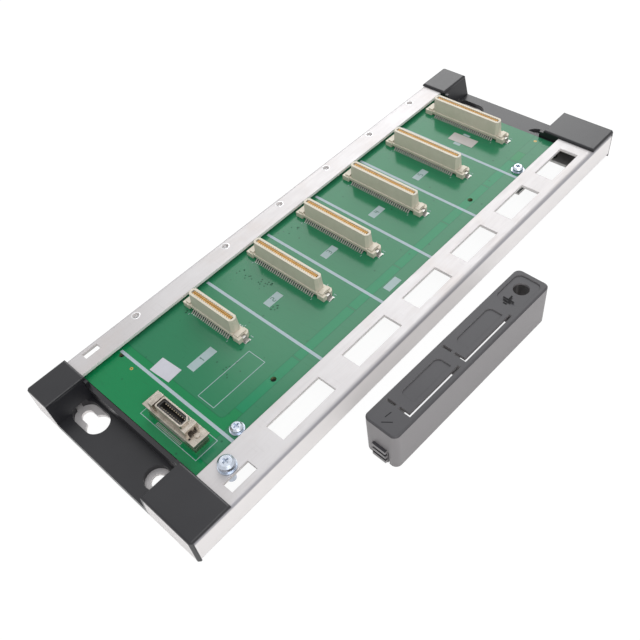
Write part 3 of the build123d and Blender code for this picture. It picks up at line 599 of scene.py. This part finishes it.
# Board printing: slot lines, two outlines, and by each socket four ticks and a short mark
SLOT_LINES = (-105.8, -54.2, -14.0, 21.0, 56.0, 91.0)
SLOT_LINE_HALF, SLOT_LINE_ENDS = 0.75, (-34.0, 41.4)
OUTLINES = ((-100.2, -14.3, -70.3, -4.3), (-121.2, -27.2, -109.4, 8.1))
OUTLINE_WIDTH = 0.25
TICK_FROM_LINE, TICK_PAST_END, TICK_HALF_LENGTH, TICK_HALF_WIDTH = 5.6, 0.9, 0.5, 0.12
MARK_X, MARK_Y = (3.0, 3.25), (-8.6, -7.0)
line_rows = [
    (x - SLOT_LINE_HALF, SLOT_LINE_ENDS[0], x + SLOT_LINE_HALF, SLOT_LINE_ENDS[1]) for x in SLOT_LINES
]
for outline in OUTLINES:
    line_rows += outline_rows(*outline, OUTLINE_WIDTH)
for x, contact_y in COLUMNS:
    for tick_x in (x - TICK_FROM_LINE, x + TICK_FROM_LINE):
        for tick_y in (contact_y[0] - TICK_PAST_END, contact_y[-1] + TICK_PAST_END):
            line_rows.append((tick_x - TICK_HALF_LENGTH, tick_y - TICK_HALF_WIDTH,
                              tick_x + TICK_HALF_LENGTH, tick_y + TICK_HALF_WIDTH))
    line_rows.append((x + MARK_X[0], contact_y[0] + MARK_Y[0], x + MARK_X[1], contact_y[0] + MARK_Y[1]))
add_piece("board_print", plates(line_rows, BOARD_TOP, PRINT_TOP), "line_print")

NUMBER_BOXES = {
    "1": (-93.2, 6.5, -79.3, 11.0), "2": (-47.3, 6.4, -38.2, 10.6), "3": (-9.1, 6.4, -0.5, 10.5),
    "4": (25.9, 6.4, 34.5, 10.5), "5": (60.9, 6.4, 69.5, 10.5),
}
BARE_BOXES = [(95.7, 6.4, 97.6, 10.5), (104.6, 6.4, 106.0, 10.5), (-7.2, -30.5, 1.5, -26.6)]
box_rows = list(NUMBER_BOXES.values()) + BARE_BOXES
add_piece("number_boxes", plates(box_rows, BOARD_TOP, PRINT_TOP), "box_print")
numbers = [
    digit(symbol, (x0 + x1) / 2, (y0 + y1) / 2) for symbol, (x0, y0, x1, y1) in NUMBER_BOXES.items()
]
add_piece("slot_numbers", join(*numbers), "mask_showing")

# Solder under the feet of the sockets and their clips, in rows at the contact pitch
PAD_INNER, PAD_OUTER, PAD_HALF = 3.5, 4.75, 0.34
CLIP_PAD_HALF, CLIP_PAD_Y = 1.7, (-8.8, -6.7)
pad_rows = []
for x, contact_y in COLUMNS:
    clip_y0, clip_y1 = (contact_y[0] + offset for offset in CLIP_PAD_Y)
    pad_rows += [side_rows(x, PAD_INNER, PAD_OUTER, contact_y, PAD_HALF),
                 [(x - CLIP_PAD_HALF, clip_y0, x + CLIP_PAD_HALF, clip_y1)]]
add_piece("solder_pads", plates(np.concatenate(pad_rows), BOARD_TOP, PRINT_TOP), "solder")

# Fine pads of the extension connector beside its body, at 0.62 of the sockets' pitch
FINE_PAD_COUNT, FINE_PAD_MIDDLE, FINE_PITCH = 20, -9.0, 0.62 * PITCH
FINE_PAD_X, FINE_PAD_HALF = (-120.6, -119.1), 0.24
fine_rows = [
    (FINE_PAD_X[0], y - FINE_PAD_HALF, FINE_PAD_X[1], y + FINE_PAD_HALF)
    for y in FINE_PAD_MIDDLE + (np.arange(FINE_PAD_COUNT) - (FINE_PAD_COUNT - 1) / 2) * FINE_PITCH
]
add_piece("extension_pads", plates(fine_rows, BOARD_TOP, PRINT_TOP), "solder")

# Tin skirt round the extension connector's body, in two courses below its plate
EXTENSION_X, EXTENSION_Y = -115.1, -9.9
BODY_HALF_X, BODY_HALF_Y = 3.6, 14.5
SKIRT_WALL = 0.12
LOWER_COURSE_TOP, UPPER_COURSE = 13.4, (13.9, 16.98)
skirt_x, skirt_y = BODY_HALF_X + SKIRT_WALL, BODY_HALF_Y + SKIRT_WALL
skirt_rows = outline_rows(EXTENSION_X - skirt_x, EXTENSION_Y - skirt_y, EXTENSION_X + skirt_x,
                          EXTENSION_Y + skirt_y, SKIRT_WALL)
skirt = join(plates(skirt_rows, BOARD_TOP, LOWER_COURSE_TOP), plates(skirt_rows, *UPPER_COURSE))
add_piece("extension_skirt", skirt, "tinned_shell")

# Painted highlight: flat bright plates on the tips of the extension connector's two rows of contacts, the
# lit copy of the contacts, which are painted dark as shaded
TIP_COUNT, TIP_INNER, TIP_OUTER, TIP_HALF, TIP_HEIGHT = 10, 0.99, 1.31, 0.26, 0.12
tip_y = EXTENSION_Y + (np.arange(TIP_COUNT) - (TIP_COUNT - 1) / 2) * PITCH
tips = plates(side_rows(EXTENSION_X, TIP_INNER, TIP_OUTER, tip_y, TIP_HALF), TIP_FOOT, TIP_FOOT + TIP_HEIGHT)
add_piece("extension_contact_tip_highlights", tips, "tip_painted_highlight")

# Gold contacts that line both walls of each slot, and the notches in the rim beside them, drawn as flat dark
# marks on the rim: painted shade standing for the notches' hollows
BLADE_INNER, BLADE_OUTER, BLADE_HALF = 0.14, 0.82, 0.56
BLADE_FOOT, BLADE_HEAD = TOWER_TOP - 6.2, TOWER_TOP - 0.30
NOTCH_INNER, NOTCH_OUTER, NOTCH_HALF = 0.86, 1.22, 0.22
blade_rows = [side_rows(x, BLADE_INNER, BLADE_OUTER, contact_y, BLADE_HALF) for x, contact_y in COLUMNS]
notch_rows = [side_rows(x, NOTCH_INNER, NOTCH_OUTER, contact_y, NOTCH_HALF) for x, contact_y in COLUMNS]
blades = plates(np.concatenate(blade_rows), BLADE_FOOT, BLADE_HEAD)
notches = plates(np.concatenate(notch_rows), TOWER_TOP, TOWER_TOP + INK)
add_piece("slot_contacts", blades, "gold_flash")
add_piece("rim_notch_painted_shade", notches, "notch_painted_shade")

# Raised burrs round the tapped holes of the far flange, and the drawn collars that carry on their thread,
# near white: bright cut metal, with painted highlight on the burrs and painted reflection in the collars'
# bores. The burr's profile is radius and rise, and the collar's bore steps between crest and root each half
# turn
MODULE_SCREWS = [(x, 49.8) for x in (-89.8, -34.1, 3.5, 38.5, 73.5, 108.5)]
HOLE_SIDES = 32
BURR_PROFILE = ((1.68, 0.0), (2.15, 0.0), (2.02, 0.10), (1.80, 0.14))
SHEET_DEPTH, COLLAR_DEPTH, COLLAR_RADIUS = 1.52, 2.8, 2.3
THREAD_PITCH, THREAD_TURNS, CREST_RADIUS, ROOT_RADIUS = 0.7, 4, 1.66, 1.90
burr = [(radius, FLANGE_TOP + rise) for radius, rise in BURR_PROFILE]
add_piece("tapped_hole_burrs", lathe(burr, MODULE_SCREWS, HOLE_SIDES), "cut_metal_and_painted_glint")
collar_top = FLANGE_TOP - SHEET_DEPTH
half_turns = np.arange(2 * THREAD_TURNS + 1)
groove_r = np.where(half_turns % 2 == 0, CREST_RADIUS, ROOT_RADIUS)
groove = list(zip(groove_r, collar_top - half_turns * THREAD_PITCH / 2))
collar = [(COLLAR_RADIUS, collar_top)] + groove + [(COLLAR_RADIUS, collar_top - COLLAR_DEPTH)]
add_piece("tapped_collars", lathe(collar, MODULE_SCREWS, HOLE_SIDES), "cut_metal_and_painted_glint")

# Gilded rings of the fiducials
FIDUCIALS, FIDUCIAL_SIDES = [(-109.1, 29.6), (121.3, -23.6)], 20
RING_INNER, RING_OUTER, RING_SLOPE = 0.34, 0.80, 0.04
gilded_ring = [(RING_INNER, BOARD_TOP), (RING_OUTER, BOARD_TOP), (RING_OUTER - RING_SLOPE, PRINT_TOP),
               (RING_INNER + RING_SLOPE, PRINT_TOP)]
add_piece("fiducials", lathe(gilded_ring, FIDUCIALS, FIDUCIAL_SIDES), "gold_flash")

# Dark vias in loose groups: middle x and y, reach in x and y, and count
VIA_GROUPS = (
    (-39.5, 30.0, 2.2, 4.5, 9), (-38.0, 19.0, 2.6, 3.4, 12), (-45.5, 4.0, 2.4, 1.4, 9),
    (-71.5, 34.5, 2.2, 1.6, 7), (-84.0, -6.5, 6.0, 4.0, 7), (-4.0, 33.5, 3.0, 2.0, 5),
)
VIA_SEED, VIA_RADIUS, VIA_SIDES = 5, 0.34, 8
scatter = np.random.default_rng(VIA_SEED)
via_places = np.concatenate([
    scatter.uniform(-1.0, 1.0, (count, 2)) * (reach_x, reach_y) + (x, y)
    for x, y, reach_x, reach_y, count in VIA_GROUPS
])
vias = pads_round(via_places, VIA_RADIUS, BOARD_TOP, PRINT_TOP, VIA_SIDES)
add_piece("dark_vias", vias, "via_tone", weld=True)

# A small hole in the extension connector's plate, drawn as a flat dark disc: painted shade standing for the
# hole's depth
PLATE_HOLE, PLATE_HOLE_RADIUS, PLATE_HOLE_SIDES = [(-118.0, -22.1)], 0.5, 16
hole = pads_round(PLATE_HOLE, PLATE_HOLE_RADIUS, PLATE_TOP, PLATE_TOP + INK, PLATE_HOLE_SIDES)
add_piece("plate_hole_painted_shade", hole, "dark_mark", weld=True)

# Marks on the cover's top, in its own axes: an earth sign by the screw hole, and a slash with a short line
COVER_CORNER = (-70.2, -85.5)
COVER_TURN = math.radians(-1.67)
EARTH_WEIGHT, SLASH_WEIGHT = 0.75, 0.35
EARTH_STROKES = np.array([
    (84.6, 8.6, 82.4, 8.6), (82.0, 5.9, 82.0, 11.3), (80.7, 6.8, 80.7, 10.4), (79.4, 7.7, 79.4, 9.5),
])
SLASH_STROKES = np.array([(2.6, 9.2, 5.4, 5.8), (5.2, 9.6, 8.4, 9.2)])


def cover_place(points):
    """Points of the cover in the shared frame: turned by the cover's turn, then moved by its corner."""
    c, s = math.cos(COVER_TURN), math.sin(COVER_TURN)
    x = COVER_CORNER[0] + points[:, 0] * c - points[:, 1] * s
    y = COVER_CORNER[1] + points[:, 0] * s + points[:, 1] * c
    return np.stack([x, y, points[:, 2]], axis=1)


mark_points, mark_faces = join(*(
    bars(strokes[:, :2], strokes[:, 2:], weight, COVER_TOP, COVER_TOP + INK)
    for strokes, weight in ((EARTH_STROKES, EARTH_WEIGHT), (SLASH_STROKES, SLASH_WEIGHT))
))
add_piece("cover_marks", (cover_place(mark_points), mark_faces), "dark_mark")


def white_to_view(tree, shaded, white):
    """Mixes two shaders: the second one where a camera, glossy or transmission ray arrives."""
    path = tree.nodes.new("ShaderNodeLightPath")
    seen = maths(tree, "ADD", path.outputs["Is Camera Ray"], path.outputs["Is Glossy Ray"], clamp=True)
    seen = maths(tree, "ADD", seen, path.outputs["Is Transmission Ray"], clamp=True)
    mix = tree.nodes.new("ShaderNodeMixShader")
    tree.links.new(seen, mix.inputs[0])
    tree.links.new(shaded, mix.inputs[1])
    tree.links.new(white, mix.inputs[2])
    return mix.outputs[0]


def floor_material():
    """White floor: plain to the light that bounces off it, and to the view mostly its own white, so that
    it keeps only a soft shadow."""
    bounce, roughness = 0.93, 0.9
    shadow_share, own_white = 0.10, 0.94
    material = bpy.data.materials.new("floor_white")
    material.use_nodes = True
    tree = material.node_tree
    shader = tree.nodes["Principled BSDF"]
    shader.inputs["Base Color"].default_value = (bounce, bounce, bounce, 1.0)
    shader.inputs["Roughness"].default_value = roughness
    shade = tree.nodes.new("ShaderNodeBsdfDiffuse")
    shade.inputs["Color"].default_value = (shadow_share, shadow_share, shadow_share, 1.0)
    glow = tree.nodes.new("ShaderNodeEmission")
    glow.inputs["Strength"].default_value = own_white
    both = tree.nodes.new("ShaderNodeAddShader")
    tree.links.new(shade.outputs[0], both.inputs[0])
    tree.links.new(glow.outputs[0], both.inputs[1])
    surface = white_to_view(tree, shader.outputs[0], both.outputs[0])
    tree.links.new(surface, tree.nodes["Material Output"].inputs["Surface"])
    return material


FLOOR_REACH = 6.0  # metres
FLOOR_DROP = 0.00005  # metres below the base, so that the two surfaces don't coincide
floor_mesh = bpy.data.meshes.new("floor")
floor_signs = ((-1, -1), (1, -1), (1, 1), (-1, 1))
floor_corners = [(x * FLOOR_REACH, y * FLOOR_REACH, -FLOOR_DROP) for x, y in floor_signs]
floor_mesh.from_pydata(floor_corners, [], [(0, 1, 2, 3)])
floor_mesh.materials.append(floor_material())
floor = bpy.data.objects.new("floor", floor_mesh)
bpy.context.scene.collection.objects.link(floor)

# The room: a soft cool light on the object, and plain white to the view
ROOM_LIGHT, ROOM_STRENGTH = (0.96, 0.97, 1.0, 1.0), 0.47
BACKDROP, BACKDROP_STRENGTH = (1.0, 1.0, 1.0, 1.0), 1.0
world = bpy.data.worlds.new("studio")
bpy.context.scene.world = world
world.use_nodes = True
sky = world.node_tree
sky.nodes.clear()
soft = sky.nodes.new("ShaderNodeBackground")
soft.inputs["Color"].default_value = ROOM_LIGHT
soft.inputs["Strength"].default_value = ROOM_STRENGTH
backdrop = sky.nodes.new("ShaderNodeBackground")
backdrop.inputs["Color"].default_value = BACKDROP
backdrop.inputs["Strength"].default_value = BACKDROP_STRENGTH
sky_out = sky.nodes.new("ShaderNodeOutputWorld")
sky.links.new(white_to_view(sky, soft.outputs[0], backdrop.outputs[0]), sky_out.inputs[0])

# Square lamps aimed at the origin: place and size in metres, power in watts
LAMPS = {
    "lamp_top": ((0.0, 0.05, 1.0), 0.9, 0.6),
    "lamp_back_right": ((0.70, 0.51, 0.69), 0.80, 6.1),
    "lamp_front": ((-0.25, -0.66, 0.88), 0.7, 4.6),
}
for lamp_name, (place, size, power) in LAMPS.items():
    light_data = bpy.data.lights.new(lamp_name, "AREA")
    light_data.shape = "SQUARE"
    light_data.size = size
    light_data.energy = power
    light = bpy.data.objects.new(lamp_name, light_data)
    light.location = place
    light.rotation_mode = "QUATERNION"
    light.rotation_quaternion = (-Vector(place)).to_track_quat("-Z", "Y")
    bpy.context.scene.collection.objects.link(light)

# The camera stands where the photograph was taken from: its place in metres, its turns in degrees
CAMERA_PLACE = (-0.17890, -0.18413, 0.26338)
CAMERA_TURNS = {"azimuth": -39.977, "elevation": 49.153, "roll": -9.509}
FOCAL_PIXELS, FRAME_PIXELS, SENSOR = 757.4, 640.0, 36.0
CLIP_START, CLIP_END = 0.01, 20.0  # metres
scene = bpy.context.scene
scene.view_settings.view_transform = "Standard"
camera_data = bpy.data.cameras.new("camera")
camera_data.sensor_width = SENSOR
camera_data.lens = FOCAL_PIXELS / FRAME_PIXELS * SENSOR
camera_data.clip_start = CLIP_START
camera_data.clip_end = CLIP_END
camera = bpy.data.objects.new("camera", camera_data)
azimuth, elevation, roll = (math.radians(CAMERA_TURNS[turn]) for turn in ("azimuth", "elevation", "roll"))
reach = math.cos(elevation)
forward = Vector((-math.sin(azimuth) * reach, math.cos(azimuth) * reach, -math.sin(elevation)))
right = Vector((math.cos(azimuth), math.sin(azimuth), 0.0))
up = right.cross(forward)
right_rolled = right * math.cos(roll) + up * math.sin(roll)
up_rolled = up * math.cos(roll) - right * math.sin(roll)
turned = Matrix((right_rolled, up_rolled, -forward)).transposed().to_4x4()
camera.matrix_world = Matrix.Translation(CAMERA_PLACE) @ turned
scene.collection.objects.link(camera)
scene.camera = camera

bpy.context.view_layer.update()
